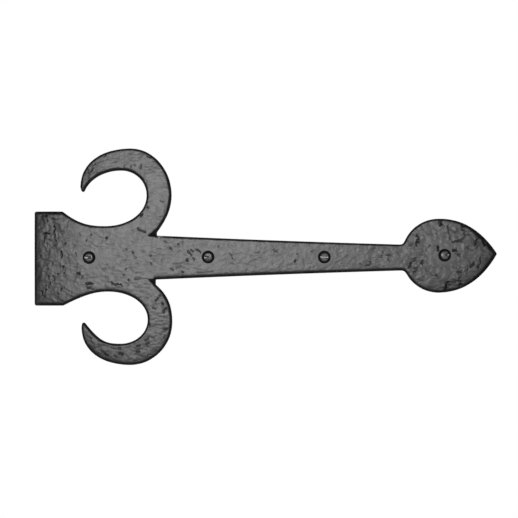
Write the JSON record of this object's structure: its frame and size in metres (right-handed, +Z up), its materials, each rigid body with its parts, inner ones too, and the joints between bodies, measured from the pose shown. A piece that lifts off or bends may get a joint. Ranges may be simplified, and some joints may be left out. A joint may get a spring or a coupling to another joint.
{
  "type": "strap hinge front",
  "caption": "Decorative black cast iron strap hinge front with crescent horns, a tapering strap and a pointed penny end, fixed by slotted round-head wood screws.",
  "frame": {"origin": "middle of the hinge end's edge on the back face, which lies on the door", "axes": "+X along the strap to its point, +Z up, +Y into the door; the show face looks along -Y"},
  "size_m": [0.3807, 0.0354, 0.1781],
  "materials": {
    "black_casting": "satin black paint over a hammered, pitted iron casting",
    "black_screw": "satin black screw steel, bare along worn edges"
  },
  "bodies": {
    "casting": {"strap_casting": "black_casting"},
    "screw_1": {"screw_1": "black_screw"},
    "screw_2": {"screw_2": "black_screw"},
    "screw_3": {"screw_3": "black_screw"},
    "screw_4": {"screw_4": "black_screw"}
  },
  "joints": [
    {"name": "screw_1_turn", "type": "hinge", "parent": "casting", "child": "screw_1", "pos_m": [0.045, -0.0045, 0], "axis": [0, 1, 0], "continuous": true},
    {"name": "screw_2_turn", "type": "hinge", "parent": "casting", "child": "screw_2", "pos_m": [0.1429, -0.0045, 0.0004], "axis": [0, 1, 0], "continuous": true},
    {"name": "screw_3_turn", "type": "hinge", "parent": "casting", "child": "screw_3", "pos_m": [0.2385, -0.0045, 0.0004], "axis": [0, 1, 0], "continuous": true},
    {"name": "screw_4_turn", "type": "hinge", "parent": "casting", "child": "screw_4", "pos_m": [0.3375, -0.0045, 0.0019], "axis": [0, 1, 0], "continuous": true}
  ]
}
